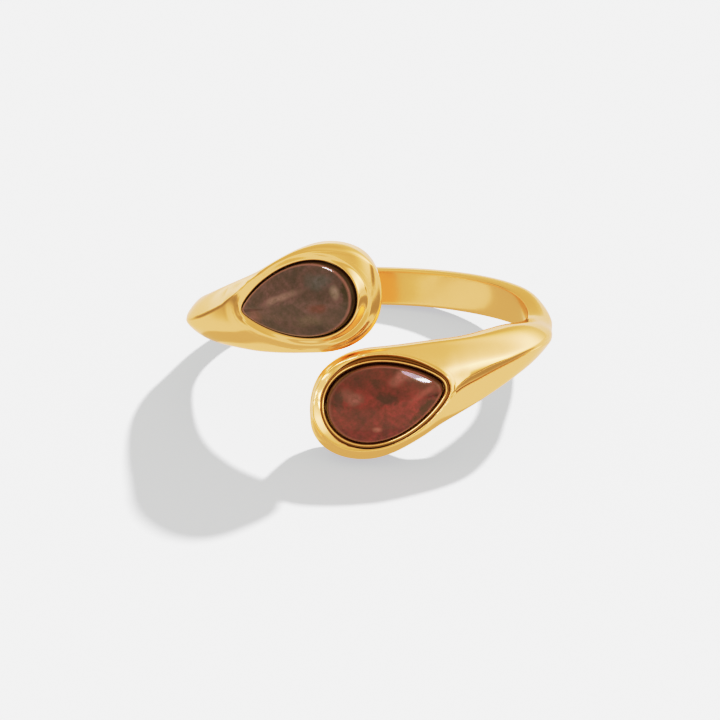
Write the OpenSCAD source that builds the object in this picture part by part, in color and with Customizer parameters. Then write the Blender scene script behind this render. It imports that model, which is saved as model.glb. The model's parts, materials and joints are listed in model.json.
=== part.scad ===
// Open wrap ring of cast metal. One band goes once round the finger, and its two ends
// swell into heads that pass each other at the front. Each head carries a pear-shaped
// cabochon in a raised collar that stands in a shallow dish.
// Lengths are in millimetres and angles in degrees.

/* [Finger hole] */
// Inner diameter of the band
bore_d = 17.3; // [16.8:0.1:18]

/* [Collars] */
// Wall of the collar around a stone
collar_t = 0.3; // [0.2:0.05:0.4]
// Distance from the finger's axis to the top of a collar
collar_r = 11.15; // [11:0.05:11.3]
// Depth of the dish that runs round a collar
dish_depth = 0.4; // [0:0.05:0.6]
// Width of that dish
dish_w = 0.8; // [0.4:0.05:1]

/* [Stones] */
// Height of a dome over the top of its collar
dome_rise = 0.9; // [0.5:0.05:1.2]
// Height of a stone's upright edge
girdle = 0.85; // [0.6:0.05:1]
// How far the pear is drawn out towards its point
draw_out = 0.7; // [0.5:0.05:0.9]

/* [Rest] */
// Lean of the ring as it lies, its front raised
lean_front = 14.7; // [0:0.1:20]
// Lean of the ring to its left
lean_side = 10.3; // [0:0.1:15]

/* [Hidden] */

bore_r = bore_d / 2;
bore_length = 30;     // more than the ring is tall
gap = 0.05;           // clear space between a stone and its seat
seat_depth = 1.2;     // floor of a seat under the top of its collar
collar_foot = 0.3;    // how far a collar goes on into the head under that floor
dome_steps = 7;
pear_sides = 48;

// Sections of one arm of the band, a row each: the angle from the back, how far the
// middle line stands off the middle plane, half of the width along the finger, the rise
// over the bore, the height of the widest line, and how sharp the outer ridge is.
ANGLE = 0;
DROP = 1;
HALF_W = 2;
RISE = 3;
WAIST = 4;
RIDGE = 5;
ARM = [
    [  0, 0.00, 1.10, 1.65, 0.45, 0.00],
    [ 50, 0.88, 1.06, 1.56, 0.45, 0.06],
    [ 90, 1.40, 0.72, 1.53, 0.45, 0.60],
    [120, 1.52, 1.38, 3.00, 1.15, 0.45],
    [140, 2.02, 1.92, 2.95, 1.65, 0.30],
    [152, 2.36, 2.35, 3.05, 1.76, 0.15],
    [168, 3.03, 3.03, 2.68, 1.76, 0.00],
    [186, 3.30, 3.30, 3.10, 1.76, 0.00]];
arm_end = 193;        // angle of the blunt end of a head
round_from = 171;     // angle from which that end rounds off
round_power = 2.25;
outer_power = 2.7;    // squareness of the outer half of a section
inner_power = 3;      // squareness of its inner half
under_cut = 0.6;      // how far a section reaches below the bore before it is bored out
arm_steps = 44;
end_steps = 10;
section_sides = 32;

// Stones and their seats, a row each: the angle from the back, how far the middle of the
// stone stands off the middle plane, the turn of its long axis out of that plane, its
// length, its width and the radius of its point.
AT = 0;
OFF = 1;
TURN = 2;
LONG = 3;
WIDE = 4;
POINT_R = 5;
RED = [169.3, 2.93, 8.2, 6.85, 4.50, 0.6];
GREY = [167.6, 3.14, 7.1, 7.20, 4.40, 0.3];

// Cubic curve through one column of the table of sections
function steepness(i, c) =
    let (n = len(ARM) - 1)
    i == 0 ? (c == DROP ? (ARM[1][c] - ARM[0][c]) / (ARM[1][ANGLE] - ARM[0][ANGLE]) : 0)
    : i == n ? (ARM[n][c] - ARM[n - 1][c]) / (ARM[n][ANGLE] - ARM[n - 1][ANGLE])
    : let (
        before = ARM[i][ANGLE] - ARM[i - 1][ANGLE],
        after = ARM[i + 1][ANGLE] - ARM[i][ANGLE],
        climb_before = (ARM[i][c] - ARM[i - 1][c]) / before,
        climb_after = (ARM[i + 1][c] - ARM[i][c]) / after)
      (climb_before * after + climb_after * before) / (before + after);
function row_of(a, i = 0) =
    i == len(ARM) - 2 || a < ARM[i + 1][ANGLE] ? i : row_of(a, i + 1);
function column(a, c) =
    let (
        i = row_of(a),
        step = ARM[i + 1][ANGLE] - ARM[i][ANGLE],
        t = (a - ARM[i][ANGLE]) / step)
    t > 1 ? ARM[i + 1][c] + (a - ARM[i + 1][ANGLE]) * steepness(i + 1, c)
    : (2 * t ^ 3 - 3 * t ^ 2 + 1) * ARM[i][c] + (t ^ 3 - 2 * t ^ 2 + t) * step * steepness(i, c)
      + (3 * t ^ 2 - 2 * t ^ 3) * ARM[i + 1][c] + (t ^ 3 - t ^ 2) * step * steepness(i + 1, c);

// Pear outline: a drawn-out oval grown by the radius of its point, which lies at +X.
// The turns stand closer together near the point; grow moves the outline outwards.
belly = max([for (t = [90:2:180]) sin(t) * sin(t / 2) ^ draw_out]);
function pear_point(stone, t, grow) =
    let (
        r = stone[POINT_R],
        a = stone[LONG] / 2 - r,
        b = (stone[WIDE] / 2 - r) / belly,
        s = abs(sin(t / 2)) ^ draw_out,
        across = b * s * (cos(t) + draw_out * cos(t / 2) ^ 2),
        along = a * sin(t),
        steep = norm([across, along]),
        out = steep < 0.001 ? [1, 0] : [across, along] / steep)
    [a * cos(t), b * sin(t) * s] + (r + grow) * out;
function pear(stone, grow) = [
    for (k = [0:pear_sides - 1]) let (u = 360 * k / pear_sides)
        pear_point(stone, u - 30 * sin(u), grow)];

// Axes and middle of a seat, on the arm that carries the red stone
function out_axis(stone) = [sin(stone[AT]), cos(stone[AT]), 0];
function long_axis(stone) = [
    -cos(stone[AT]) * cos(stone[TURN]), sin(stone[AT]) * cos(stone[TURN]), sin(stone[TURN])];
function cross_axis(stone) = cross(out_axis(stone), long_axis(stone));
function seat_middle(stone) = out_axis(stone) * collar_r - [0, 0, stone[OFF]];
function on_arm(stone, p) =
    seat_middle(stone) + p.x * long_axis(stone) + p.y * cross_axis(stone) + p.z * out_axis(stone);

// Depth of the dish at a point of the head; it is deep at the blunt end and on the side
// of the other head, and fades out on the far side
function dish(p, stone, outline) =
    let (
        q = p - seat_middle(stone),
        x = q * long_axis(stone),
        y = q * cross_axis(stone),
        along = x / (stone[LONG] / 2 + collar_t),
        inside = abs(along) < 1 && abs(y) < abs(pear_point(stone, acos(along), collar_t).y),
        off = inside ? 0 : min([for (o = outline) norm([x, y] - o)]),
        share = max(0, 1 - off / dish_w),
        side = min(1, max(0.2, 0.5 + (y - 0.6 * x) / 4)))
    dish_depth * side * share ^ 2 * (3 - 2 * share);

// A point of an arm: angle a from the back, turn t round the section
function signed_power(v, p) = sign(v) * abs(v) ^ p;
function arm_point(a, t, stone, outline) =
    let (
        x = max(0, (a - round_from) / (arm_end - round_from)),
        q = x >= 1 ? 0 : (1 - x ^ round_power) ^ (1 / round_power),
        waist = column(a, WAIST),
        ridge = max(0, column(a, RIDGE)),
        rise = (column(a, RISE) - waist) * q ^ 0.4,
        outer = sin(t) >= 0,
        power = 2 / (outer ? outer_power : inner_power),
        cu = signed_power(cos(t), power),
        su = abs(sin(t)) ^ power,
        high = waist + rise * ((1 - ridge) * su + ridge * (1 - abs(cu))),
        low = waist - (waist + under_cut) * su * min(1, 3 * q),
        r = bore_r + (outer ? high : low),
        z = column(a, HALF_W) * q * cu - column(a, DROP),
        p = [r * sin(a), r * cos(a), z])
    outer && a > 130 ? p - dish(p, stone, outline) * out_axis(stone) : p;
function half_turn(p) = [-p.x, p.y, -p.z];

// Rings of points round the whole band, from the blunt end of the grey stone's head to
// that of the red stone's
turns = [for (k = [0:section_sides - 1]) 360 * k / section_sides];
angles = concat(
    [for (k = [0:arm_steps - 1]) round_from * k / arm_steps],
    [for (k = [0:end_steps - 1]) round_from + (arm_end - round_from) * sin(90 * k / end_steps)]);
red_rim = pear(RED, collar_t);
grey_rim = pear(GREY, collar_t);
rings = concat(
    [for (i = [len(angles) - 1:-1:1])
        [for (t = turns) half_turn(arm_point(angles[i], 180 - t, GREY, grey_rim))]],
    [for (a = angles) [for (t = turns) arm_point(a, t, RED, red_rim)]]);

// Levels of a stone, from its foot to the top of its dome: share of the outline, height
foot = gap - seat_depth;
levels = concat(
    [[1, foot]],
    [for (k = [0:dome_steps - 1]) let (t = 90 * k / dome_steps)
        [cos(t), foot + girdle + (dome_rise - foot - girdle) * sin(t)]]);
function stone_points(stone) =
    let (outline = pear(stone, -gap))
    concat([for (l = levels, o = outline) [o.x * l[0], o.y * l[0], l[1]]], [[0, 0, dome_rise]]);

// Where a point of the upright ring comes to when the ring lies on its side, and the
// shift that puts the floor and the middle of its outline at the origin
function laid(p) =
    let (
        y = p.y * cos(lean_front) + p.z * sin(lean_front),
        z = p.z * cos(lean_front) - p.y * sin(lean_front))
    [p.x * cos(lean_side) - z * sin(lean_side), y, p.x * sin(lean_side) + z * cos(lean_side)];
cloud = [
    for (ring = rings, p = ring) laid(p),
    for (p = stone_points(RED)) laid(on_arm(RED, p)),
    for (p = stone_points(GREY)) laid(half_turn(on_arm(GREY, p)))];
low = [for (k = [0:2]) min([for (p = cloud) p[k]])];
high = [for (k = [0:2]) max([for (p = cloud) p[k]])];
to_floor = -[(low.x + high.x) / 2, (low.y + high.y) / 2, low.z];

module lie() {
    translate(to_floor)
        rotate([0, -lean_side, 0])
            rotate([-lean_front, 0, 0])
                children();
}

// Puts a shape on a seat of the arm, its point along +X and its top along +Z
module on_seat(stone) {
    rotate([0, 0, -stone[AT]])
        translate([0, collar_r, -stone[OFF]])
            rotate([-90, 0, 0])
                rotate([0, 0, 180 + stone[TURN]])
                    children();
}

module other_arm() {
    rotate([0, 180, 0])
        children();
}

module band_blank() {
    m = section_sides;
    count = len(rings);
    tips = [half_turn(arm_point(arm_end, 0, GREY, grey_rim)), arm_point(arm_end, 0, RED, red_rim)];
    tip = count * m;
    sides = [
        for (i = [0:count - 2], k = [0:m - 1]) let (j = (k + 1) % m)
            each [
                [i * m + k, i * m + j, (i + 1) * m + j],
                [i * m + k, (i + 1) * m + j, (i + 1) * m + k]]];
    ends = [
        for (k = [0:m - 1]) let (j = (k + 1) % m)
            each [[tip, j, k], [tip + 1, (count - 1) * m + k, (count - 1) * m + j]]];
    polyhedron(concat([for (ring = rings) each ring], tips), concat(sides, ends), convexity = 6);
}

module collar(stone) {
    translate([0, 0, -seat_depth - collar_foot])
        linear_extrude(seat_depth + collar_foot)
            polygon(pear(stone, collar_t));
}

module seat(stone) {
    translate([0, 0, -seat_depth])
        linear_extrude(seat_depth + dome_rise)
            polygon(pear(stone, 0));
}

module cabochon(stone) {
    m = pear_sides;
    points = stone_points(stone);
    last = len(levels) - 1;
    sides = [
        for (i = [0:last - 1], k = [0:m - 1]) let (j = (k + 1) % m)
            each [
                [i * m + k, (i + 1) * m + j, i * m + j],
                [i * m + k, (i + 1) * m + k, (i + 1) * m + j]]];
    crown = [for (k = [0:m - 1]) [last * m + k, len(points) - 1, last * m + (k + 1) % m]];
    polyhedron(points, concat([[for (k = [0:m - 1]) k]], sides, crown), convexity = 4);
}

module band() {
    color("#d9a94e")
        lie()
            difference() {
                union() {
                    band_blank();
                    on_seat(RED) collar(RED);
                    other_arm() on_seat(GREY) collar(GREY);
                }
                rotate([0, 0, -90])
                    cylinder(h = bore_length, r = bore_r, center = true, $fn = 96);
                on_seat(RED) seat(RED);
                other_arm() on_seat(GREY) seat(GREY);
            }
}

module grey_stone() {
    color("#5c4a44")
        lie() other_arm() on_seat(GREY) cabochon(GREY);
}

module red_stone() {
    color("#8a3b38")
        lie() on_seat(RED) cabochon(RED);
}

band();
grey_stone();
red_stone();
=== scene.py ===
"""Looks of the wrap ring: the polished gold band with its collars, the two cabochons, floor, light
and camera.

Shapes are worked out in millimetres in the frame of the upright ring, as in the part's source, and laid
down with the place and the axis of the finger hole. Angles along an arm are in degrees from the back of
the ring. Turns round a stone start at its tip and go towards the other head.
"""
import json
import math

import bmesh
import bpy
import numpy as np
from mathutils import Matrix, Vector
from mathutils.bvhtree import BVHTree


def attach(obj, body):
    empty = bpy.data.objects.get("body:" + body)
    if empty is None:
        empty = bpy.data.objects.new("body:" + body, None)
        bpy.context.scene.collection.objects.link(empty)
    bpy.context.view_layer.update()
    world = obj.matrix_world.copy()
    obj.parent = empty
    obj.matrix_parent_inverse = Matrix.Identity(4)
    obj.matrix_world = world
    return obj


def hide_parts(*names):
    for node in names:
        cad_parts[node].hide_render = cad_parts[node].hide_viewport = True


MM = 0.001

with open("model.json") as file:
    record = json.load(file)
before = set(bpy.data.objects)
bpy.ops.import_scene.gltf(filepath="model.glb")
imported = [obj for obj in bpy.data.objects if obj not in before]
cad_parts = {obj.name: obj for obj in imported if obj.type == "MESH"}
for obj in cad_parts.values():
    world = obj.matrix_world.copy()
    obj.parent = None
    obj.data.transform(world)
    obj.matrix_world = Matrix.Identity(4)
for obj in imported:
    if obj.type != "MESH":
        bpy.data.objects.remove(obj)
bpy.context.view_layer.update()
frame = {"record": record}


# How the ring lies: its finger axis and the middle of the hole
hole = [m for m in frame["record"]["mounts"] if m["name"] == "finger_hole"][0]
hole_axis = hole["axis"]
lean_front = math.asin(hole_axis[1])
lean_side = math.atan2(-hole_axis[0], hole_axis[2])
LAY = np.array(Matrix.Rotation(-lean_side, 3, "Y") @ Matrix.Rotation(-lean_front, 3, "X"))
HOLE_AT = np.array(hole["pos_m"])


def laid(points):
    """Upright millimetres to metres on the floor."""
    return points @ LAY.T * MM + HOLE_AT


# Sections of an arm: angle from the back, drop of its middle line, half width, rise over the bore,
# height of the widest line, sharpness of the outer ridge
ARM = np.array([
    [0, 0.00, 1.10, 1.65, 0.45, 0.00],
    [50, 0.88, 1.06, 1.56, 0.45, 0.06],
    [90, 1.40, 0.72, 1.53, 0.45, 0.60],
    [120, 1.52, 1.38, 3.00, 1.15, 0.45],
    [140, 2.02, 1.92, 2.95, 1.65, 0.30],
    [152, 2.36, 2.35, 3.05, 1.76, 0.15],
    [168, 3.03, 3.03, 2.68, 1.76, 0.00],
    [186, 3.30, 3.30, 3.10, 1.76, 0.00]])
BORE_R = hole["dims"]["r_mm"]
# where an arm starts to close and where it ends, and how square its end is
ROUND_FROM = 171.0
ARM_END = 193.0
ROUND_POWER = 2.25
# how square the outer and the inner half of a section are
OUTER_POWER = 2.7
INNER_POWER = 3.0
# how far the inner half would pass the bore, where it is cut flat, and how soft the cut's edges are
UNDER_CUT = 0.6
BORE_SOFT = 0.12
# where an arm's end has less than this share of its width, its inner half rises off the bore
THIN_FROM = 1 / 3
# a collar's width outside its stone, how far its top is from the finger's axis, the stone's height over
# the collar's top, and how far a pear is drawn out towards its tip
COLLAR_T = 0.3
COLLAR_R = 11.15
DOME_RISE = 0.9
DRAW_OUT = 0.7

# the widest place of a drawn-out half turn, which a pear's own width is divided by
HALF_PEAR = np.linspace(0, np.pi, 721)
BELLY = (np.sin(HALF_PEAR) * np.sin(HALF_PEAR / 2) ** DRAW_OUT).max()
TINY = 1e-4


class Seat:
    """A stone's place on its arm: angle, drop, turn, and the pear's length, width and point radius."""

    def __init__(self, at, off, turn, long, wide, point_r):
        self.long, self.wide, self.point_r = long, wide, point_r
        at, turn = math.radians(at), math.radians(turn)
        level = math.cos(turn)
        self.out = np.array([math.sin(at), math.cos(at), 0.0])
        self.along = np.array([-math.cos(at) * level, math.sin(at) * level, math.sin(turn)])
        self.across = np.cross(self.out, self.along)
        self.middle = self.out * COLLAR_R - np.array([0.0, 0.0, off])

    def on_arm(self, x, y, z):
        """Points given over the seat's own plane, at their place on the arm."""
        return self.middle + x[..., None] * self.along + y[..., None] * self.across + z[..., None] * self.out

    def outline(self, t, grow):
        """Points of the pear at turns t, moved outwards by grow."""
        a = self.long / 2 - self.point_r
        b = (self.wide / 2 - self.point_r) / BELLY
        s = np.abs(np.sin(t / 2)) ** DRAW_OUT
        nx = b * s * (np.cos(t) + DRAW_OUT * np.cos(t / 2) ** 2)
        ny = a * np.sin(t)
        size = np.hypot(nx, ny)
        at_tip = size < TINY
        nx = np.where(at_tip, 1.0, nx / np.maximum(size, TINY))
        ny = np.where(at_tip, 0.0, ny / np.maximum(size, TINY))
        r = self.point_r + grow
        return a * np.cos(t) + r * nx, b * np.sin(t) * s + r * ny


SEATS = {
    "red": Seat(at=169.3, off=2.93, turn=8.2, long=6.85, wide=4.50, point_r=0.6),
    "grey": Seat(at=167.6, off=3.14, turn=7.1, long=7.20, wide=4.40, point_r=0.3)}

# Points round a pear: to measure from it, round a collar and round a stone; and how many degrees they
# move at most towards the tip
PEAR_POINTS, COLLAR_POINTS, STONE_POINTS = 480, 360, 240
TOWARDS_TIP = 30


def pear_turns(count):
    """Turns round a pear that stand closer together near its tip."""
    u = np.arange(count) * 2 * np.pi / count
    return u - np.radians(TOWARDS_TIP) * np.sin(u)


def placed(points, arm):
    """Points of an arm at their place: the grey stone's arm is worked out on the side of the other one,
    and turned half round the front-to-back line."""
    return points * np.array([-1.0, 1.0, -1.0]) if arm == "grey" else points


def smooth(x):
    """A soft step from 0 to 1."""
    x = np.clip(x, 0.0, 1.0)
    return x * x * (3 - 2 * x)


def blend(at, table):
    """The value between the rows of a table of places and values."""
    places, values = zip(*table)
    return np.interp(at, places, values)


def column(a, c):
    """Cubic curve through one column of the sections, at angles a."""
    x, y = ARM[:, 0], ARM[:, c]
    step = np.diff(x)
    climb = np.diff(y) / step
    slope = np.empty(len(x))
    slope[1:-1] = (climb[:-1] * step[1:] + climb[1:] * step[:-1]) / (step[1:] + step[:-1])
    slope[0] = climb[0] if c == 1 else 0.0
    slope[-1] = climb[-1]
    i = np.clip(np.searchsorted(x, a, side="right") - 1, 0, len(x) - 2)
    t = (a - x[i]) / step[i]
    inside = ((2 * t**3 - 3 * t**2 + 1) * y[i] + (t**3 - 2 * t**2 + t) * step[i] * slope[i]
              + (3 * t**2 - 2 * t**3) * y[i + 1] + (t**3 - t**2) * step[i] * slope[i + 1])
    return np.where(t > 1, y[-1] + (a - x[-1]) * slope[-1], inside)


def off_pear(seat, x, y, grow):
    """Distance outside the pear in its own plane, negative inside."""
    px, py = seat.outline(pear_turns(PEAR_POINTS), grow)
    best = np.full(x.shape, np.inf)
    inside = np.zeros(x.shape, bool)
    for x0, y0, x1, y1 in zip(px, py, np.roll(px, -1), np.roll(py, -1)):
        dx, dy = x1 - x0, y1 - y0
        k = np.clip(((x - x0) * dx + (y - y0) * dy) / (dx * dx + dy * dy), 0, 1)
        best = np.minimum(best, np.hypot(x - x0 - k * dx, y - y0 - k * dy))
        if y0 != y1:
            cut = ((y0 > y) != (y1 > y)) & (x < x0 + (y - y0) * dx / dy)
            inside ^= cut
    return np.where(inside, -best, best)


# Round a collar, by the turn in degrees: how far out the crest of the dish lies, how deep the dish is
# beside the collar, how round its slope is, how wide and deep the groove at the collar's foot is, how far
# the dish's own mesh reaches past the crest, how high the crest stands over the plain head, and how far
# the bead round the stone is let down, or raised where that is negative. The grey head has no groove.
RIM = {
    "red": {
        "crest": ((-180, 0.46), (-165, 0.38), (-150, 0.28), (-120, 0.16), (-60, 0.16), (-15, 0.30),
                  (15, 0.34), (60, 0.36), (100, 0.33), (130, 0.38), (150, 0.40), (165, 0.40), (175, 0.43),
                  (180, 0.46)),
        "dip": ((-180, 0.02), (-165, 0.10), (-150, 0.14), (-120, 0.04), (-60, 0.04), (0, 0.08), (20, 0.20),
                (45, 0.34), (105, 0.30), (125, 0.12), (140, -0.05), (150, -0.10), (165, -0.10), (180, 0.02)),
        "bend": ((-180, 1.3), (-120, 2.0), (110, 2.0), (135, 1.5), (150, 1.3), (180, 1.3)),
        "groove": ((-180, 0.02), (-60, 0.025), (-30, 0.05), (0, 0.14), (60, 0.16), (110, 0.14), (140, 0.03),
                   (180, 0.02)),
        "depth": ((-180, 0.04), (-90, 0.05), (-45, 0.08), (0, 0.18), (60, 0.14), (110, 0.12), (140, 0.06),
                  (180, 0.04)),
        "tail": ((-180, 0.16), (-150, 0.2), (-120, 0.08), (-60, 0.06), (0, 0.10), (60, 0.12), (80, 0.10),
                 (130, 0.10), (165, 0.11), (175, 0.13), (180, 0.16)),
        "lift": ((-180, 0.45), (-165, 0.18), (-150, 0.03), (-135, 0.0), (105, 0.0), (120, 0.08), (135, 0.30),
                 (150, 0.52), (165, 0.53), (180, 0.45)),
        "bead": ((-180, 0.18), (-165, 0.12), (-150, 0.04), (-120, 0.0), (120, 0.0), (135, 0.08), (150, 0.15),
                 (165, 0.18), (180, 0.18))},
    "grey": {
        "crest": ((-180, 0.24), (-130, 0.24), (-90, 0.20), (-60, 0.19), (-45, 0.21), (-15, 0.30), (15, 0.34),
                  (60, 0.34), (110, 0.34), (140, 0.42), (160, 0.40), (180, 0.24)),
        "dip": ((-180, 0.06), (-120, 0.03), (-60, 0.03), (-15, 0.05), (15, 0.04), (60, 0.04), (110, 0.08),
                (140, 0.20), (160, 0.16), (180, 0.08)),
        "bend": ((-180, 1.6), (-60, 1.6), (0, 2.0), (110, 2.0), (140, 1.3), (160, 1.3), (180, 1.6)),
        "tail": ((-180, 0.20), (-150, 0.14), (-120, 0.06), (-90, 0.05), (-60, 0.05), (0, 0.10), (140, 0.16),
                 (165, 0.2), (180, 0.20)),
        "lift": ((-180, 0.0), (110, 0.0), (135, 0.10), (160, 0.08), (180, 0.0)),
        "bead": ((-180, 0.0), (-155, -0.02), (-120, -0.13), (-90, -0.18), (-45, -0.22), (-20, -0.08),
                 (0, 0.0), (180, 0.0))}}
# how fast the lift fades from the crest towards the collar
LIFT_POWER = 1.2
# how far the band's own mesh is sunk inside the dish's border and under the seat, how far from the border
# or the collar that is, and over what way it sinks
BORDER_SINK, BORDER_IN, BORDER_WAY = 0.10, 0.06, 0.12
SEAT_SINK, SEAT_OUT, SEAT_WAY = 0.8, 0.05, 0.3


def rim_at(phi, arm):
    """The measures of the rim at turns phi."""
    return {part: blend(np.degrees(phi), table) for part, table in RIM[arm].items()}


def dish(phi, reach, arm):
    """How far the dish lies under the plain head, by the turn and the distance outside the collar."""
    rim = rim_at(phi, arm)
    share = np.clip(1 - reach / rim["crest"], 0, 1)
    past = np.clip((reach - rim["crest"]) / rim["tail"], 0, 1)
    raised = np.where(reach < rim["crest"], (1 - share) ** LIFT_POWER, smooth(1 - past))
    under = rim["dip"] * share ** rim["bend"]
    if "groove" in rim:
        under = under + rim["depth"] * np.clip(1 - reach / rim["groove"], 0, 1) ** 2
    return under - rim["lift"] * raised


def under_dish(p, arm):
    """How far the band's own mesh lies under the plain head, so that it stays below the dish's mesh."""
    seat = SEATS[arm]
    q = p - seat.middle
    x, y = q @ seat.along, q @ seat.across
    off = off_pear(seat, x, y, COLLAR_T)
    phi = np.arctan2(y, x)
    rim = rim_at(phi, arm)
    border = rim["crest"] + rim["tail"]
    depth = np.maximum(dish(phi, np.maximum(off, 0), arm), 0)
    return (depth * (off < border) + BORDER_SINK * smooth((border - BORDER_IN - off) / BORDER_WAY)
            + SEAT_SINK * smooth((SEAT_OUT - off) / SEAT_WAY))


# Where the ridge runs along each arm, from -1 to 1 across it, and where the upper face folds over
RIDGE_AT = {
    "red": ((0, 0), (100, 0), (112, 0.04), (118, 0.06), (122, 0.06), (126.4, 0.02), (130, -0.02),
            (134, -0.06), (137.3, -0.10), (141, -0.15), (144, -0.18), (147, -0.22), (149, -0.27),
            (150.5, -0.34), (152, -0.44), (154, -0.56), (158, -0.7), (200, -0.7)),
    "grey": ((0, 0), (100, 0), (118, -0.03), (124, -0.05), (130, -0.15), (134, -0.25), (138, -0.34),
             (141.5, -0.42), (145, -0.55), (148, -0.65), (152, -0.79), (156, -0.86), (162, -0.90),
             (200, -0.90))}
FOLD_AT = ((0, 0.2), (118, 0.16), (125, 0.23), (133, 0.27), (140, 0.34), (147, 0.36), (152, 0.46),
           (157, 0.60), (162, 0.78), (168, 0.87), (200, 0.87))
# how soft the fold is, as a share of the face
FOLD_SOFT = 0.11
# How far the ridge is let down, and how far to each side of it, by angle: a round back on the thin part of
# the band; then a soft fall to a crisp line on the front arm, and a softly broken edge on the far arm
RIDGE_CUT = {
    "red": ((0, 0.02), (50, 0.03), (75, 0.12), (95, 0.20), (108, 0.12), (120, 0.05), (128, 0.06),
            (136, 0.08), (145, 0.08), (149, 0.05), (154, 0.04), (160, 0.02), (200, 0)),
    "grey": ((0, 0.02), (50, 0.03), (75, 0.12), (95, 0.20), (108, 0.10), (120, 0.022), (150, 0.022),
             (160, 0.02), (200, 0))}
FOLD_SIDE_W = {
    "red": ((0, 0.3), (60, 0.35), (75, 0.5), (95, 0.6), (110, 0.35), (122, 0.22), (130, 0.30), (137, 0.42),
            (145, 0.42), (149, 0.22), (152, 0.16), (200, 0.16)),
    "grey": ((0, 0.3), (60, 0.35), (75, 0.5), (95, 0.6), (110, 0.25), (120, 0.14), (200, 0.14))}
FLAT_SIDE_W = {
    "red": ((0, 0.3), (60, 0.35), (75, 0.5), (95, 0.6), (108, 0.30), (118, 0.05), (125, 0.035),
            (200, 0.035)),
    "grey": ((0, 0.3), (60, 0.35), (75, 0.5), (95, 0.6), (110, 0.25), (120, 0.15), (200, 0.15))}
# the cut is hollow on the plain band and straighter between the faces
CUT_HOLLOW, CUT_STRAIGHTER = 2, 0.5

# How dark the painted dark reflection along the ridge's line is, by angle, and how far the painted dark runs
# to each side in mm
PAINTED_LINE_DARK = {
    "red": ((0, 0.0), (118, 0.0), (128, 0.5), (140, 0.6), (150, 0.9), (156, 0.9), (158, 0.0), (200, 0.0)),
    "grey": ((0, 0.0), (118, 0.0), (128, 0.35), (146, 0.45), (153, 0.2), (157, 0.0), (200, 0.0))}
LINE_W = 0.10

# Angles where something sets in along an arm, each with the stretch over which it does: the thicker side
# of the band and its end, the two faces, the head, and the head's rounder end
SIDE_IN, SIDE_OUT = (62, 20), (98, 16)
FACES_IN = (80, 42)
HEAD_IN = (152, 14)
HEAD_END_IN = (172, 14)
# how much thicker the side is
SIDE_RISE = 0.14
# how square the upper face is, more on the head and less at its end, and its flatter share on the arm
UPPER_POWER, UPPER_ON_HEAD, UPPER_AT_END = 2.7, 0.5, 0.9
UPPER_FLAT = 0.45
# how square the lower face is on the arm and on the head, and its flatter share on the arm
LOWER_POWER, LOWER_HEAD_POWER = 3.4, 2.35
LOWER_FLAT = 0.5
# how fast the top of a head falls at its end
END_FALL = {"red": 0.6, "grey": 1.0}
# the low swell round the stone's tip: height, radius, and how far its middle is back from the tip
SWELL = 0.20
SWELL_R = 1.6
SWELL_BACK = 0.2
# the hollow between the ridge and the fold, beside the stone's tip, in mm by angle
TIP_HOLLOW = ((0, 0.0), (144, 0.0), (149, 0.04), (152, 0.04), (156, 0.0), (200, 0.0))

# Points of a section's fine curves, and how much closer the mesh's points stand towards the ridge
FINE_OUTER, FINE_INNER = 500, 800
CROWDING = 1.5
# less than this counts as no length and no rise, and the tip's hollow is set against at least this rise
NO_LENGTH, NO_RISE = 1e-9, 1e-6
LEAST_RISE = 0.1
# points that are closer than this, in metres, become one
MERGE = 2e-7


def set_in(a, start, over):
    """0 up to the angle start, 1 from start + over, and a soft step between."""
    return smooth((a - start) / over)


def closing(a):
    """Share of its width that an arm keeps at angle a, down to 0 at its round end."""
    x = max(0.0, (a - ROUND_FROM) / (ARM_END - ROUND_FROM))
    return 0.0 if x >= 1 else (1 - x**ROUND_POWER) ** (1 / ROUND_POWER)


def folded(w, at, soft):
    """1 before the fold and down to 0 at the edge, w from 0 to 1."""
    def ramp(v):
        return (v + np.sqrt(v * v + soft * soft)) / 2
    low, high = ramp(0 - at), ramp(1 - at)
    return 1 - (ramp(w - at) - low) / (high - low)


def rounded(w, power):
    """1 at the ridge and 0 at the edge, squarer for a higher power."""
    return (1 - np.minimum(w, 1) ** power) ** (1 / power)


def upper_face(w, a, fold, rise):
    """Height of the upper face from the ridge to its edge, w from 0 to 1: round, with a soft fold."""
    headed = set_in(a, *HEAD_IN)
    power = UPPER_POWER + UPPER_ON_HEAD * headed - UPPER_AT_END * set_in(a, *HEAD_END_IN)
    bend = UPPER_FLAT * (1 - headed)
    own = (1 - bend) * rounded(w, power) + bend * folded(w, fold, FOLD_SOFT)
    return own - blend(a, TIP_HOLLOW) / max(rise, LEAST_RISE) * np.sin(np.pi * np.clip(w / fold, 0, 1)) ** 2


def lower_face(w, a):
    """The same for the lower face: flatter on the arm and round on the head."""
    headed = set_in(a, *HEAD_IN)
    flat = LOWER_FLAT * (1 - headed)
    own = (1 - flat) * rounded(w, LOWER_POWER) + flat * (1 - w)
    return own + headed * (rounded(w, LOWER_HEAD_POWER) - own)


def inner_half(reach, waist, full):
    """Widths and heights of the inner half, cut flat along the bore."""
    t = np.linspace(0, np.pi, FINE_INNER)
    cu = np.sign(np.cos(t)) * np.abs(np.cos(t)) ** (2 / INNER_POWER)
    su = np.abs(np.sin(t)) ** (2 / INNER_POWER)
    low = waist - (waist + UNDER_CUT) * su * min(1.0, full / THIN_FROM)
    return -reach * cu, (low + np.sqrt(low * low + BORE_SOFT**2)) / 2


def picked(z, high, shares):
    """Points of a curve at shares of its length, and how far each is from its start and from its end."""
    run = np.concatenate([[0], np.cumsum(np.hypot(np.diff(z), np.diff(high)))])
    if run[-1] < NO_LENGTH:
        run = np.linspace(0, NO_LENGTH, len(run))
    at = shares * run[-1]
    return np.stack([np.interp(at, run, z), np.interp(at, run, high)], -1), at, run[-1] - at


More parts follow.
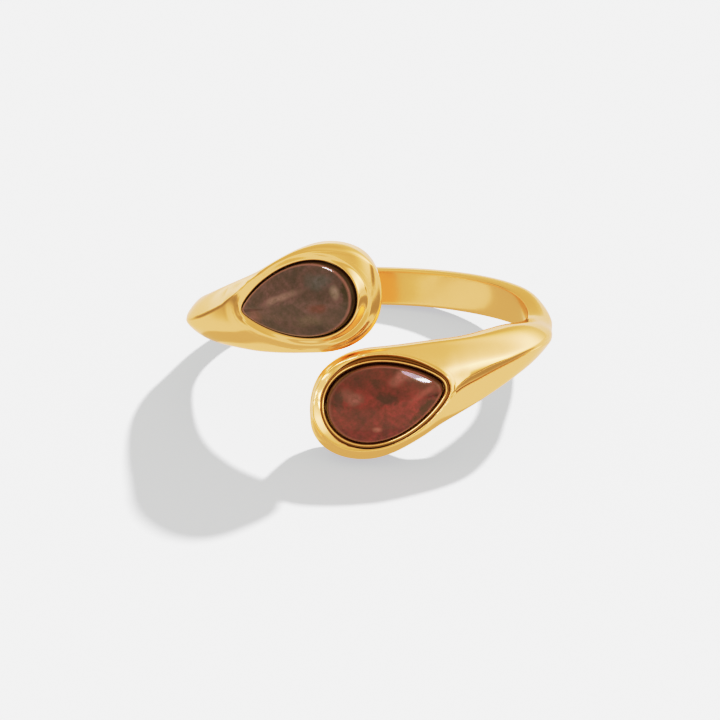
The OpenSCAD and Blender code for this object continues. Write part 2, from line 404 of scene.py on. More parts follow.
def section(arm, a, face, inner):
    """Points round an arm at angle a: from the upper edge to the ridge, to the lower edge, and back along
    the bore. Each of the two faces has as many points as face says."""
    seat = SEATS[arm]
    drop, half_w, rise, waist, ridge = (float(column(np.array([a]), c)[0]) for c in range(1, 6))
    ridge = max(0.0, ridge)
    full = closing(a)
    reach = half_w * full
    faced = set_in(a, *FACES_IN)
    rise = (rise - waist) * full ** END_FALL[arm]
    rise += SIDE_RISE * (set_in(a, *SIDE_IN) - set_in(a, *SIDE_OUT))
    middle = blend(a, RIDGE_AT[arm])
    fold = (blend(a, FOLD_AT) - middle) / (1 - middle)

    t = np.linspace(0, np.pi / 2, FINE_OUTER)
    w = np.sin(t) ** (2 / OUTER_POWER)
    plain_shape = (1 - ridge) * np.cos(t) ** (2 / OUTER_POWER) + ridge * (1 - w)
    halves = []
    for sign, own in ((1, upper_face(w, a, fold, rise)), (-1, lower_face(w, a))):
        shape = plain_shape + faced * (own - plain_shape)
        halves.append((reach * (middle + sign * (1 - sign * middle) * w), waist + rise * shape))
    (up_z, up_high), (down_z, down_high) = halves
    from_ridge = (np.arange(face) / face) ** CROWDING
    to_ridge = 1 - (1 - np.arange(face) / face) ** CROWDING
    upper, _, up_away = picked(up_z[::-1], up_high[::-1], to_ridge)
    lower, down_away, _ = picked(down_z, down_high, from_ridge)
    inside, _, _ = picked(*inner_half(reach, waist, full), np.arange(inner) / inner)
    cut = blend(a, RIDGE_CUT[arm]) * full
    for part, away, width in ((upper, up_away, FOLD_SIDE_W), (lower, down_away, FLAT_SIDE_W)):
        near = np.clip(1 - away / blend(a, width[arm]), 0, 1)
        part[:, 1] -= cut * near ** (CUT_HOLLOW - CUT_STRAIGHTER * faced)
    z, high = np.concatenate([upper, lower, inside]).T

    r = BORE_R + high
    points = np.stack([r * math.sin(math.radians(a)), r * math.cos(math.radians(a)), z - drop], -1)
    q = points - seat.middle
    away = np.hypot(q @ seat.along - seat.long / 2 + SWELL_BACK, q @ seat.across)
    outer_share = np.clip((high - waist) / max(rise, NO_RISE), 0, 1)
    return points + (SWELL * outer_share * smooth(1 - away / SWELL_R))[:, None] * seat.out


def sections(arm, angles, face, inner):
    """A row of points for each angle."""
    return np.array([section(arm, a, face, inner) for a in angles])


def shell(name, points, painted_shade=None):
    """A surface over a grid of points, made from a plain grid; equal points are merged. The painted shade
    has a value for each point: a darkening that stands in for shade and dark reflections."""
    rows, cols = points.shape[:2]
    bm = bmesh.new()
    bmesh.ops.create_grid(bm, x_segments=rows - 1, y_segments=cols - 1, size=1)
    bm.verts.ensure_lookup_table()
    spots = np.array([v.co[:2] for v in bm.verts])
    i = np.rint((spots[:, 0] + 1) / 2 * (rows - 1)).astype(int)
    j = np.rint((spots[:, 1] + 1) / 2 * (cols - 1)).astype(int)
    for v, co in zip(bm.verts, laid(points[i, j])):
        v.co = co
    if painted_shade is not None:
        layer = bm.verts.layers.float.new("painted_shade")
        for v, dark in zip(bm.verts, painted_shade[i, j]):
            v[layer] = float(dark)
    bmesh.ops.remove_doubles(bm, verts=bm.verts, dist=MERGE)
    bmesh.ops.recalc_face_normals(bm, faces=bm.faces)
    for f in bm.faces:
        f.smooth = True
    mesh = bpy.data.meshes.new(name)
    bm.to_mesh(mesh)
    bm.free()
    piece = bpy.data.objects.new(name, mesh)
    bpy.context.scene.collection.objects.link(piece)
    return piece


# The band's mesh: points on each face and along the bore, sections in the head and in its end, and the
# angles where the head's closer sections start and where its mesh is sunk under the dish
FACE_POINTS, BORE_POINTS = 66, 44
HEAD_SECTIONS, END_SECTIONS = 105, 65
HEAD_FROM = 132
ARM_STEP = 1.6
SUNK_FROM = 130


def end_angles(count):
    """Angles of the sections in an arm's round end."""
    turn = np.linspace(0, np.pi / 2, count)
    return ROUND_FROM + (ARM_END - ROUND_FROM) * np.sin(turn) ** (2 / ROUND_POWER)


def sunk(rows, angles, arm):
    """The band's mesh with its head let down under the dish."""
    head = angles > SUNK_FROM
    outer = 2 * FACE_POINTS
    part = rows[head][:, :outer]
    rows[np.ix_(head, np.arange(outer))] = part - under_dish(part, arm)[..., None] * SEATS[arm].out
    return rows


def make_band():
    """Both arms with their heads as one surface, without the collars and the dishes round them."""
    head = np.linspace(HEAD_FROM, ROUND_FROM, HEAD_SECTIONS)[:-1]
    angles = np.concatenate([np.arange(0, HEAD_FROM, ARM_STEP), head, end_angles(END_SECTIONS)])
    arms = {}
    for arm in SEATS:
        rows = sunk(sections(arm, angles, FACE_POINTS, BORE_POINTS), angles, arm)
        arms[arm] = placed(rows, arm)
    # the other arm's sections run the other way round, from the same edge
    outer = 2 * FACE_POINTS
    grey = np.concatenate([arms["grey"][:, outer::-1], arms["grey"][:, :outer:-1]], 1)
    rows = np.concatenate([grey[:0:-1], arms["red"]])
    rows = np.concatenate([rows, rows[:, :1]], 1)
    # the crisp line of the ridge is darkened with painted shade that stands in for a dark reflection
    strength = np.concatenate([blend(angles, PAINTED_LINE_DARK["grey"])[:0:-1], blend(angles, PAINTED_LINE_DARK["red"])])
    away = np.linalg.norm(rows - rows[:, FACE_POINTS:FACE_POINTS + 1], axis=-1)
    return shell("gold_band", rows, strength[:, None] * smooth(1 - away / LINE_W))


# The plain head that the dishes are measured from: its first angle, its sections before and in its end,
# and the points on a face and along the bore
PLAIN_FROM = 136
PLAIN_SECTIONS, PLAIN_END = 220, 200
PLAIN_FACE, PLAIN_BORE = 200, 4
# a ray down to the head starts this high over the seat
RAY_FROM = 4


def plain_heights(arm):
    """A function that gives the plain head's height over the seat's middle plane."""
    seat = SEATS[arm]
    head = np.linspace(PLAIN_FROM, ROUND_FROM, PLAIN_SECTIONS)[:-1]
    angles = np.concatenate([head, end_angles(PLAIN_END)])
    rows = sections(arm, angles, PLAIN_FACE, PLAIN_BORE)[:, :2 * PLAIN_FACE + 1]
    n, m = rows.shape[:2]
    i, j = np.meshgrid(np.arange(n - 1), np.arange(m - 1), indexing="ij")
    corner = (i * m + j).ravel()
    faces = np.stack([corner, corner + m, corner + m + 1, corner + 1], -1)
    tree = BVHTree.FromPolygons(rows.reshape(-1, 3).tolist(), faces.tolist())
    down = Vector(-seat.out)

    def height(x, y):
        found = np.empty(x.shape)
        for at in np.ndindex(x.shape):
            start = seat.middle + x[at] * seat.along + y[at] * seat.across + RAY_FROM * seat.out
            hit = tree.ray_cast(Vector(start), down)
            found[at] = RAY_FROM - hit[3] if hit[0] else np.nan
        return found
    return height


# The bead round each stone: where it starts and ends outside the stone, the turn at which its top hands
# over to its foot, its rows, how square its top is, and how steeply it falls towards the stone
BEADS = {
    "red": {"start": 0.03, "end": 0.22, "last": 0, "rows": 15, "power": 0.45, "lean": 0.36},
    "grey": {"start": 0.0, "end": 0.28, "last": 90, "rows": 7, "power": 1.0, "lean": 0.0}}
# how far a bead's edges lie under its top, and how dark the painted shade on them is
BEAD_RISE = 0.11
BEAD_PAINTED_DARK = 0.8
# heights of the rows up a collar's inner side, from its foot
INNER_SIDE = (-1.1, -0.7, -0.35)
# rows through the groove, down the soft foot, up to the crest and past it, as shares of the way
GROOVE_ROWS = np.linspace(0.08, 1, 7)
FOOT_ROWS = np.linspace(0, 1, 12)[1:]
CREST_ROWS = np.linspace(0, 1, 13)[1:]
TAIL_ROWS = np.linspace(0, 1, 12)[1:]
# how far past the collar's foot the soft outer side of the grey bead runs, and how far it falls by itself
SOFT_FOOT = 0.17
SOFT_FALL = 0.05
# how far the dish's mesh stands over the band's at its border
LIP = 0.003
# a narrow last row keeps the shading of the border clean; under it the hem is tucked in: out and down
LAST_ROW = 0.004
HEM = ((0.002, 0.01), (0.0, 0.12))


def make_collar(name, arm):
    """The rim round a stone with the dish outside it: up the inner side, over the bead, through the
    groove or down a soft foot, up to the crest, and past it into the band; then back under the metal."""
    seat, bead = SEATS[arm], BEADS[arm]
    start, end = bead["start"], bead["end"]
    middle = (start + end) / 2
    t = pear_turns(COLLAR_POINTS)
    even = np.ones_like(t)
    px, py = seat.outline(t, COLLAR_T)
    phi = np.arctan2(py, px)
    rim = rim_at(phi, arm)
    crest, tail, let_down = rim["crest"], rim["tail"], rim["bead"]
    height = plain_heights(arm)

    def dished(off):
        x, y = seat.outline(t, COLLAR_T + off)
        return height(x, y) - dish(phi, off, arm) + LIP * smooth(off / (crest + tail))

    # each row: how far out it runs, its height, and how dark the painted shade on the metal is there
    # painted shade: the inner side, down into the gap beside the stone, is darkened fully
    rows = [(start * even, h - let_down, 1) for h in INNER_SIDE]
    for v in np.radians(np.linspace(180, bead["last"], bead["rows"])):
        grow = middle + (end - start) / 2 * math.cos(v)
        lower = max(math.sin(v), 0.0) ** bead["power"] - 1
        top = BEAD_RISE * lower - bead["lean"] * (end - grow)
        # painted shade on the bead's two flanks, none on its top
        rows.append((grow * even, top - let_down, BEAD_PAINTED_DARK * lower**2))
    if "groove" in rim:
        first = rim["groove"]
        for k in GROOVE_ROWS:
            # painted shade in the groove, darkest at its foot
            rows.append((COLLAR_T + first * k, dished(first * k), 1 - smooth(k)))
    else:
        first = SOFT_FOOT * even
        for k in FOOT_ROWS:
            off = (middle + (COLLAR_T + SOFT_FOOT - middle) * k - COLLAR_T) * even
            bead_side = -let_down - SOFT_FALL * k**2
            rows.append((COLLAR_T + off, bead_side * (1 - smooth(k)) + smooth(k) * dished(off), 0))
    offs = [first + (crest - first) * k for k in CREST_ROWS]
    offs += [crest + tail * k for k in TAIL_ROWS]
    offs.append(offs[-1] + LAST_ROW)
    for off in offs:
        rows.append((COLLAR_T + off, dished(off), 0))
    border, border_height, _ = rows[-1]
    for out, down in HEM:
        rows.append((border + out, border_height - down, 0))
    rows.append((COLLAR_T * even, INNER_SIDE[0] - let_down, 1))
    rows.append(rows[0])
    points = []
    for grow, h, _ in rows:
        x, y = seat.outline(t, grow)
        points.append(seat.on_arm(x, y, h))
    points = np.array(points)
    assert np.isfinite(points).all(), name
    points = np.concatenate([points, points[:, :1]], 1)
    dark = np.array([float(row[2]) for row in rows])
    return shell(name, placed(points, arm), np.repeat(dark[:, None], points.shape[1], 1))


# A stone's side, from its foot to the shoulder: share of the outline, and height over the collar's top.
# The stone stays a gap over the floor of its seat.
SHOULDER = 0.39
SEAT_FLOOR = -1.2
GAP = 0.05
STONE_FOOT = GAP + SEAT_FLOOR
STONE_SIDE = [(0.90, STONE_FOOT), (0.985, STONE_FOOT), (1.0, STONE_FOOT + 0.05), (1.0, -0.45),
              (0.999, -0.25), (0.994, -0.08), (0.984, 0.08), (0.968, 0.22), (0.956, 0.30), (0.946, 0.345),
              (0.934, 0.375)]
# the dome's share of the outline, how flat its top is, and its rows as shares, the steepest left out
DOME_SHARE = 0.922
DOME_POWER, DOME_FALL = 2.2, 1.02
DOME_ROWS = np.sin(np.radians(np.linspace(90, 0, 40)))[3:]
# how much smaller the stone is than its opening
STONE_GAP = 0.012
# the side value of the stone's material: 0 on the dome, and 1 this far down the side
SIDE_OVER, SIDE_DEEP = 0.06, 0.42


def make_stone(name, arm):
    """A domed cabochon: upright edge, steep shoulder and a flatter top."""
    seat = SEATS[arm]
    levels = [(0.0, STONE_FOOT)] + STONE_SIDE
    for share in DOME_ROWS:
        dome = (1 - share**DOME_POWER) ** DOME_FALL
        levels.append((DOME_SHARE * share, SHOULDER + (DOME_RISE - SHOULDER) * dome))
    x, y = seat.outline(pear_turns(STONE_POINTS), -STONE_GAP)
    points = np.array([seat.on_arm(x * share, y * share, np.full_like(x, h)) for share, h in levels])
    points = np.concatenate([points, points[:, :1]], 1)
    piece = shell(name, placed(points, arm))
    # the stone's own map, in mm over its seat, and how far down its side each point lies
    mesh = piece.data
    co = np.empty(len(mesh.vertices) * 3)
    mesh.vertices.foreach_get("co", co)
    q = placed((co.reshape(-1, 3) - HOLE_AT) / MM @ LAY, arm) - seat.middle
    flat_map = np.stack([q @ seat.along, q @ seat.across], -1)
    corner = np.empty(len(mesh.loops), int)
    mesh.loops.foreach_get("vertex_index", corner)
    mesh.uv_layers.new(name="seat").data.foreach_set("uv", flat_map[corner].ravel())
    side = mesh.attributes.new("side", "FLOAT", "POINT")
    side.data.foreach_set("value", np.clip((SHOULDER + SIDE_OVER - q @ seat.out) / SIDE_DEEP, 0, 1))
    return piece


# Materials

class Tree:
    """A node tree, with short ways to add nodes and to feed them."""

    def __init__(self, tree):
        self.tree = tree

    def feed(self, socket, value):
        """Links an output to a socket, or sets the socket's own value."""
        if isinstance(value, bpy.types.NodeSocket):
            self.tree.links.new(value, socket)
        else:
            socket.default_value = value

    def add(self, kind, out, inputs, **settings):
        """An output of a new shader node that is fed with the inputs."""
        node = self.tree.nodes.new("ShaderNode" + kind)
        for setting, value in settings.items():
            setattr(node, setting, value)
        for socket, value in inputs.items():
            self.feed(node.inputs[socket], value)
        return node.outputs[out]

    def noise(self, place, scale, detail, rough=0.5):
        return self.add("TexNoise", "Fac",
                        {"Vector": place, "Scale": scale, "Detail": detail, "Roughness": rough})

    def spread(self, value, low, high, start, end):
        """The value's range from low to high, spread from start to end."""
        return self.add("MapRange", "Result",
                        {"Value": value, "From Min": low, "From Max": high, "To Min": start, "To Max": end})

    def soft_step(self, value, low, high):
        """0 at low, 1 at high, and soft between."""
        return self.add("MapRange", "Result", {"Value": value, "From Min": low, "From Max": high},
                        interpolation_type="SMOOTHSTEP")

    def mixed(self, factor, first, second, way="MIX"):
        """Two colours mixed; each is an output or three numbers."""
        first, second = ((*tone, 1) if isinstance(tone, tuple) else tone for tone in (first, second))
        return self.add("Mix", 2, {0: factor, 6: first, 7: second}, data_type="RGBA", blend_type=way)

    def ramp(self, value, stops):
        """Colours between stops, each a position and a colour."""
        node = self.tree.nodes.new("ShaderNodeValToRGB")
        self.feed(node.inputs["Fac"], value)
        elements = node.color_ramp.elements
        while len(elements) < len(stops):
            elements.new(0.5)
        for element, (at, tone) in zip(elements, stops):
            element.position = at
            element.color = (*tone, 1)
        return node.outputs["Color"]


def new_material(name):
    """A material, its tree, and its shader's inputs."""
    m = bpy.data.materials.new(name)
    m.use_nodes = True
    return m, Tree(m.node_tree), m.node_tree.nodes["Principled BSDF"].inputs


GOLD = (0.95, 0.65, 0.385)
GOLD_EDGE = (1.0, 0.94, 0.82, 1)
PAINTED_SHADE_TONE = (0.19, 0.075, 0.028)
# roughness of the gold where it is glossiest and where it is most worn
GLOSSY, WORN = 0.115, 0.165
# scale and detail of the wear and of the waves, over metres, and the waves' height
WEAR = (700, 5)
WAVES = (1400, 3)
WAVE_HEIGHT = 8e-7


def gold_material():
    """Polished gold; the painted shade value darkens it: painted shade in the grooves and gaps beside the
    stones, and a painted dark reflection along the ridge's crisp line.
    """
    m, tree, shader = new_material("polished_gold")
    painted_shade = tree.add("Attribute", "Fac", {}, attribute_name="painted_shade")
    # the painted shade darkens the gold's colour
    tree.feed(shader["Base Color"], tree.mixed(painted_shade, GOLD, PAINTED_SHADE_TONE))
    shader["Metallic"].default_value = 1.0
    # fine wear: the gloss changes a little from place to place, over a very faint waviness
    place = tree.add("TexCoord", "Object", {})
    tree.feed(shader["Roughness"], tree.spread(tree.noise(place, *WEAR), 0.3, 0.7, GLOSSY, WORN))
    wave = tree.add("Bump", "Normal", {"Distance": WAVE_HEIGHT, "Height": tree.noise(place, *WAVES)})
    tree.feed(shader["Normal"], wave)
    shader["Specular Tint"].default_value = GOLD_EDGE
    return m


# Stones' noises over millimetres: scale, detail and roughness of the clouds in the ground, of the patches'
# ragged edges and of the grains
CLOUDS = (0.9, 4, 0.55)
RAGS = (1.6, 5, 0.6)
GRAINS = (3.2, 7, 0.72)
# how far the rags move a patch's edge, and the distances at which a patch ends and is full, as shares
RAGGED = 0.38
PATCH_EDGE, PATCH_CORE = 1.15, 0.25
# Down the side, by the side value: where the painted highlight line comes in and how strong it is, where the
# painted shade of the steep side comes in, and where the coat goes out
HIGHLIGHT_LINE_IN, HIGHLIGHT_LINE_STRENGTH = (0.10, 0.20), 0.8
SIDE_SHADE_IN = (0.26, 0.5)
COAT_OUT = (0.12, 0.4)


def soft_patch():
    """Group: a soft oval patch on a stone, its edge broken up by the noise that is passed in."""
    g = bpy.data.node_groups.new("soft_patch", "ShaderNodeTree")
    for socket, kind in (("Place", "Vector"), ("Middle", "Vector"), ("Size", "Vector"), ("Turn", "Float"),
                         ("Ragged", "Float")):
        g.interface.new_socket(socket, in_out="INPUT", socket_type="NodeSocket" + kind)
    g.interface.new_socket("Mask", in_out="OUTPUT", socket_type="NodeSocketFloat")
    tree = Tree(g)
    given = g.nodes.new("NodeGroupInput")
    away = tree.add("VectorMath", "Vector", {0: given.outputs["Place"], 1: given.outputs["Middle"]},
                    operation="SUBTRACT")
    turned = tree.add("VectorRotate", "Vector", {"Vector": away, "Angle": given.outputs["Turn"]},
                      rotation_type="Z_AXIS")
    share = tree.add("VectorMath", "Vector", {0: turned, 1: given.outputs["Size"]}, operation="DIVIDE")
    size = tree.add("VectorMath", "Value", {0: share}, operation="LENGTH")
    worn = tree.add("Math", "Value", {0: size, 1: given.outputs["Ragged"]})
    tree.feed(g.nodes.new("NodeGroupOutput").inputs["Mask"], tree.soft_step(worn, PATCH_EDGE, PATCH_CORE))
    return g


def stone_material(name, ground, deep, painted_highlight_tone, painted_side_shade, patches):
    """Cloudy stone: a mottled ground, soft patches of other tones, among them painted reflections and
    painted shade, fine grains, a painted highlight as a thin light edge where the dome meets the side, and
    painted shade on the steep side."""
    m, tree, shader = new_material(name)
    place = tree.add("UVMap", "UV", {}, uv_map="seat")
    ragged = tree.spread(tree.noise(place, *RAGS), 0.3, 0.7, -RAGGED, RAGGED)
    color = tree.mixed(tree.spread(tree.noise(place, *CLOUDS), 0.34, 0.68, 0, 1), deep, ground)
    for middle, size, turn, strength, tone in patches:
        mask = tree.add("Group", "Mask", {"Place": place, "Middle": (*middle, 0), "Size": (*size, 1),
                                          "Turn": math.radians(turn), "Ragged": ragged}, node_tree=PATCH)
        color = tree.mixed(tree.spread(mask, 0, 1, 0, strength), color, tone)
    grain = tree.ramp(tree.noise(place, *GRAINS), GRAIN_TONES)
    color = tree.mixed(1, color, grain, "MULTIPLY")
    side = tree.add("Attribute", "Fac", {}, attribute_name="side")
    # painted highlight: a thin light line where the dome meets the side
    color = tree.mixed(tree.spread(side, *HIGHLIGHT_LINE_IN, 0, HIGHLIGHT_LINE_STRENGTH), color, painted_highlight_tone)
    # painted shade: the steep side is darkened
    color = tree.mixed(tree.spread(side, *SIDE_SHADE_IN, 0, 1), color, painted_side_shade)
    tree.feed(shader["Base Color"], color)
    shader["Roughness"].default_value = 0.12
    shader["Specular IOR Level"].default_value = 0.25
    tree.feed(shader["Coat Weight"], tree.spread(side, *COAT_OUT, 1, 0))
    shader["Coat Roughness"].default_value = 0.05
    return m


PATCH = soft_patch()
# the grains are a little darker and lighter than the stone
GRAIN_TONES = ((0.32, (0.58, 0.56, 0.57)), (0.66, (1.45, 1.47, 1.47)))
# Patches: middle and half sizes in mm over the seat (along it towards the tip, and across), turn, strength
# and tone; most are the stone's own tones, and the marked ones are painted reflections and painted shade
RED_PATCHES_AND_PAINTED_SHADE = (
    ((-1.75, 0.75), (0.85, 0.55), 30, 0.75, (0.42, 0.16, 0.22)),
    ((1.25, 1.2), (0.8, 0.45), -10, 0.85, (0.58, 0.18, 0.25)),
    ((2.2, 0.0), (0.9, 0.25), -20, 0.6, (0.52, 0.115, 0.17)),
    ((0.1, 0.2), (0.9, 0.45), 20, 0.75, (0.060, 0.013, 0.042)),
    ((-2.6, 0.6), (0.4, 0.8), 10, 0.7, (0.060, 0.020, 0.055)),
    ((-0.2, 1.2), (0.5, 0.3), 40, 0.6, (0.08, 0.016, 0.04)),
    ((-0.8, -1.4), (0.3, 0.2), 20, 0.7, (0.55, 0.20, 0.24)),
    # painted shade: a dark streak where the steep side near the tip lies in shade
    ((2.0, -1.0), (1.7, 0.3), -33, 0.75, (0.030, 0.009, 0.018)))
GREY_PATCHES_AND_PAINTED_LIGHT = (
    ((-1.8, -1.0), (1.0, 0.6), 10, 0.8, (0.068, 0.066, 0.108)),
    ((-1.4, 0.5), (0.75, 0.35), 10, 0.8, (0.115, 0.020, 0.038)),
    ((-0.8, 1.15), (1.3, 0.40), 0, 0.7, (0.110, 0.072, 0.085)),
    # painted reflection: a soft pale streak
    ((0.75, -0.42), (1.6, 0.27), -9, 0.65, (0.25, 0.160, 0.195)),
    # painted reflection: a soft pale spot near the blunt end
    ((-2.61, -0.24), (0.34, 0.52), 0, 0.6, (0.26, 0.205, 0.225)),
    ((2.6, 0.4), (0.7, 0.5), 0, 0.5, (0.20, 0.060, 0.090)),
    # painted shade: a dark band along the side at the blunt end
    ((-3.3, -0.2), (0.45, 1.7), 0, 0.9, (0.012, 0.006, 0.010)))

gold = gold_material()
red = stone_material("dusty_red_stone", ground=(0.36, 0.030, 0.072), deep=(0.135, 0.014, 0.048),
                     painted_highlight_tone=(0.40, 0.12, 0.16), painted_side_shade=(0.17, 0.035, 0.035), patches=RED_PATCHES_AND_PAINTED_SHADE)
grey = stone_material("smoky_grey_stone", ground=(0.108, 0.047, 0.082), deep=(0.038, 0.020, 0.040),
                      painted_highlight_tone=(0.32, 0.130, 0.160), painted_side_shade=(0.035, 0.012, 0.012), patches=GREY_PATCHES_AND_PAINTED_LIGHT)

# The pieces
band = make_band()
red_collar = make_collar("red_collar", "red")
grey_collar = make_collar("grey_collar", "grey")
red_stone = make_stone("red_cabochon", "red")
grey_stone = make_stone("grey_cabochon", "grey")
for piece, material in ((band, gold), (red_collar, gold), (grey_collar, gold), (red_stone, red),
                        (grey_stone, grey)):
    piece.data.materials.append(material)
    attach(piece, "root")
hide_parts("band")
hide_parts("red_stone")
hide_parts("grey_stone")

# Floor: what the metal mirrors is a little warm, and its floor keeps softer shadows
WHITE = (1, 1, 1)
FLOOR_HALF = 3
FLOOR_GLOW, MIRRORED_GLOW = 0.50, 0.66
FLOOR_TONE, MIRRORED_TONE = (0.8, 0.8, 0.8), (0.34, 0.30, 0.26)
WARM = (1.0, 0.86, 0.76)
# cards beyond the picture that only the metal mirrors: middle and radius in mm, the share of their core,
# and how much they pass
FLOOR_CARDS = (((-90, 150), 150, 0.35, (1.3, 1.55, 1.85)), ((50, -18), 33, 0.85, (0.22, 0.19, 0.10)),
               ((-47, 2), 24, 0.7, (0.25, 0.22, 0.13)), ((-30, -15), 13, 0.6, (0.3, 0.27, 0.15)))


def make_floor():
    bm = bmesh.new()
    bmesh.ops.create_grid(bm, x_segments=2, y_segments=2, size=FLOOR_HALF)
    mesh = bpy.data.meshes.new("floor")
    bm.to_mesh(mesh)
    bm.free()
    floor = bpy.data.objects.new("floor", mesh)
    bpy.context.scene.collection.objects.link(floor)
    m, tree, shader = new_material("pale_floor")
    shader["Roughness"].default_value = 1.0
    shader["Specular IOR Level"].default_value = 0.0
    place = tree.add("TexCoord", "Object", {})
    mirrored = WARM
    for (x, y), radius, core, gain in FLOOR_CARDS:
        away = tree.add("VectorMath", "Value", {0: place, 1: (x * MM, y * MM, 0)}, operation="DISTANCE")
        near = tree.soft_step(away, radius * MM, radius * MM * core)
        mirrored = tree.mixed(near, mirrored, gain, "MULTIPLY")
    glossy = tree.add("LightPath", "Is Glossy Ray", {})
    glow = tree.add("Mix", 0, {0: glossy, 2: FLOOR_GLOW, 3: MIRRORED_GLOW})
    tree.feed(shader["Emission Strength"], glow)
    tree.feed(shader["Base Color"], tree.mixed(glossy, FLOOR_TONE, MIRRORED_TONE))
    tree.feed(shader["Emission Color"], tree.mixed(glossy, WHITE, mirrored))
    mesh.materials.append(m)


make_floor()

# Light: an even fill on the floor, and a soft key lamp
FILL = 0.17
KEY = 3.75
KEY_AZ, KEY_EL = 24.0, 39.0
KEY_SOFT = 3
# What the metal mirrors, by the sine of the height: the room all round, and the side with the large
# softbox, which has its middle at an azimuth, a core and an edge
ROOM = ((0.0, 0.80), (0.17, 0.75), (0.34, 0.70), (0.57, 0.74), (0.71, 0.80), (0.87, 0.85), (1.0, 0.85))
SOFTBOX = ((0.0, 0.90), (0.09, 1.10), (0.17, 1.32), (0.34, 1.6), (0.45, 1.75), (0.57, 1.62), (0.71, 1.30),
           (0.82, 1.0), (0.91, 0.88), (1.0, 0.85))
BOX_AZ, BOX_CORE, BOX_EDGE = 80, 35, 88
# dim light is warmer: from this level down, fully so this far below it, by these shares of each colour
DIM_FROM, DIM_WAY = 0.95, 0.6
DIM_LOSS = (0, 0.05, 0.4)
# soft spots: azimuth, height, half angles of the core and of the edge, gain; dark ones are warmer
SPOTS = ((110, 0, 4, 13, 0.36), (-72, 16, 4, 16, 0.55), (104, 22, 4, 14, 1.25))
SPOT_LOSS = (0, 0.1, 0.55)


def toward(az, el):
    """Direction towards a place in the studio: azimuth from the back (+Y) to the right (+X), and height."""
    az, el = math.radians(az), math.radians(el)
    return Vector((math.cos(el) * math.sin(az), math.cos(el) * math.cos(az), math.sin(el)))


def cone(angle):
    """Cosine of a half angle in degrees."""
    return math.cos(math.radians(angle))


def make_world():
    """Even light on the floor, and for reflections the studio round it: a room with a large softbox on one
    side, and soft spots."""
    world = bpy.data.worlds.new("studio")
    bpy.context.scene.world = world
    world.use_nodes = True
    tree = Tree(world.node_tree)
    even = world.node_tree.nodes["Background"]
    even.inputs["Color"].default_value = (*WHITE, 1)
    even.inputs["Strength"].default_value = FILL
    way = tree.add("TexCoord", "Generated", {})

    def along(direction):
        return tree.add("VectorMath", "Value", {0: way, 1: direction}, operation="DOT_PRODUCT")

    def levels(table):
        stops = []
        for at, level in table:
            dim = min(1.0, max(0.0, (DIM_FROM - level) / DIM_WAY))
            stops.append((at, tuple(level * warm * (1 - loss * dim) for warm, loss in zip(WARM, DIM_LOSS))))
        return tree.ramp(along((0, 0, 1)), stops)

    flat = tree.add("VectorMath", "Vector", {0: way, 1: (1, 1, 0)}, operation="MULTIPLY")
    level_way = tree.add("VectorMath", "Vector", {0: flat}, operation="NORMALIZE")
    facing = tree.add("VectorMath", "Value", {0: level_way, 1: toward(BOX_AZ, 0)}, operation="DOT_PRODUCT")
    boxed = tree.soft_step(facing, cone(BOX_EDGE), cone(BOX_CORE))
    total = tree.mixed(boxed, levels(ROOM), levels(SOFTBOX))
    for az, el, core, edge, gain in SPOTS:
        near = tree.soft_step(along(toward(az, el)), cone(edge), cone(core))
        dark = max(0.0, 1 - gain)
        total = tree.mixed(near, total, tuple(gain * (1 - loss * dark) for loss in SPOT_LOSS), "MULTIPLY")
    mirrored = tree.add("Background", "Background", {"Color": total})
    glossy = tree.add("LightPath", "Is Glossy Ray", {})
    seen = tree.add("MixShader", "Shader", {"Fac": glossy, 1: even.outputs["Background"], 2: mirrored})
    tree.feed(world.node_tree.nodes["World Output"].inputs["Surface"], seen)


def make_key():
    data = bpy.data.lights.new("key_light", "SUN")
    data.angle = math.radians(KEY_SOFT)
    data.energy = KEY
    key = bpy.data.objects.new("key_light", data)
    bpy.context.scene.collection.objects.link(key)
    key.rotation_euler = toward(KEY_AZ, KEY_EL).to_track_quat("Z", "Y").to_euler()
    key.visible_glossy = False


# Small lamps that one piece alone catches: the two ends of each as azimuth and height in the studio, its
# width in metres, its power in watts, and the piece
LAMP_FAR = 0.5
LAMPS = {
    "grey_sparkle": (((-150, 40), (-154, 74)), 0.14, 1.8, grey_stone),
    "red_sheen": (((139, 41), (153, 60)), 0.055, 0.14, red_stone),
    "red_sparkle": (((140, 42), (146, 49)), 0.03, 0.10, red_stone),
    "rim_glow": (((-176, 34), (-148, 22)), 0.26, 0.24, red_collar),
    "crescent_glow": (((150, -14), (147, 8)), 0.16, 0.17, red_collar)}


def make_lamp(name, ends, width, power, piece):
    low, high = (toward(*end) for end in ends)
    way = (low + high).normalized()
    long = (high - low).normalized()
    data = bpy.data.lights.new(name, "AREA")
    data.shape = "ELLIPSE"
    data.size = (high - low).length * LAMP_FAR
    data.size_y = width
    data.energy = power
    lamp = bpy.data.objects.new(name, data)
    bpy.context.scene.collection.objects.link(lamp)
    turn = Matrix((long, way.cross(long), way)).transposed().to_4x4()
    lamp.matrix_world = Matrix.Translation(Vector(HOLE_AT) + way * LAMP_FAR) @ turn
    lit = bpy.data.collections.new(name)
    lit.objects.link(piece)
    lamp.light_linking.receiver_collection = lit
    lamp.visible_camera = False


make_world()
make_key()
for lamp_name, lamp_values in LAMPS.items():
    make_lamp(lamp_name, *lamp_values)

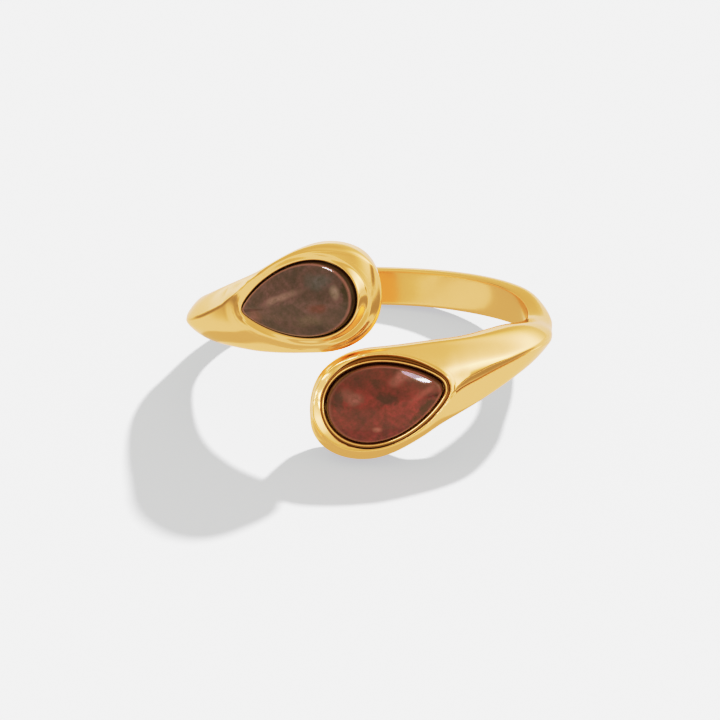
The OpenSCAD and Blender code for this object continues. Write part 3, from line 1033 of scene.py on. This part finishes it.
# Camera: its direction from the ring, its roll, its distance in metres and lens, and the point that it
# looks at, in mm to the right of the middle of the finger hole and over it
CAMERA_AZ = math.radians(7.57)
CAMERA_EL = math.radians(26.68)
CAMERA_ROLL = math.radians(2.43)
CAMERA_FAR = 0.42
LENS = 359.6
LOOK_RIGHT, LOOK_UP = -1.104, -2.576


def make_camera():
    data = bpy.data.cameras.new("camera")
    data.lens = LENS
    data.sensor_width = 36
    data.clip_start = 0.01
    data.clip_end = 20
    cam = bpy.data.objects.new("camera", data)
    bpy.context.scene.collection.objects.link(cam)
    back = Vector((math.sin(CAMERA_AZ) * math.cos(CAMERA_EL), -math.cos(CAMERA_AZ) * math.cos(CAMERA_EL),
                   math.sin(CAMERA_EL)))
    level = Vector((math.cos(CAMERA_AZ), math.sin(CAMERA_AZ), 0))
    right = level * math.cos(CAMERA_ROLL) + back.cross(level) * math.sin(CAMERA_ROLL)
    up = back.cross(right)
    look = Vector(HOLE_AT) + (right * LOOK_RIGHT + up * LOOK_UP) * MM
    turn = Matrix((right, up, back)).transposed().to_4x4()
    cam.matrix_world = Matrix.Translation(look + back * CAMERA_FAR) @ turn
    bpy.context.scene.camera = cam


make_camera()

# Tones: a toe for each colour that deepens the warm darks, and the same shoulder, which lets bright metal
# roll off softly towards white
HIGH_TONES = ((0.55, 0.585), (0.7, 0.695), (0.85, 0.77), (1.0, 0.825), (1.25, 0.888), (1.6, 0.938),
              (2.2, 0.975), (8.0, 1.0))
LOW_TONES = (
    ((0, 0), (0.05, 0.05), (0.15, 0.16), (0.3, 0.335)),
    ((0, 0), (0.05, 0.044), (0.15, 0.135), (0.3, 0.29), (0.42, 0.435)),
    ((0, 0), (0.05, 0.02), (0.15, 0.072), (0.22, 0.12), (0.28, 0.23), (0.35, 0.36), (0.45, 0.515)))
view = bpy.context.scene.view_settings
view.view_transform = "Standard"
view.look = "None"
view.use_curve_mapping = True
tones = view.curve_mapping
tones.extend = "HORIZONTAL"
tones.clip_max_x = 8
tones.clip_max_y = 1
for curve, low_tones in zip(tones.curves, LOW_TONES):
    places = low_tones + HIGH_TONES
    while len(curve.points) < len(places):
        curve.points.new(0.5, 0.5)
    for point, at in zip(curve.points, places):
        point.location = at
tones.update()
bpy.context.scene.cycles.use_denoising = True
bpy.context.scene.cycles.caustics_reflective = False
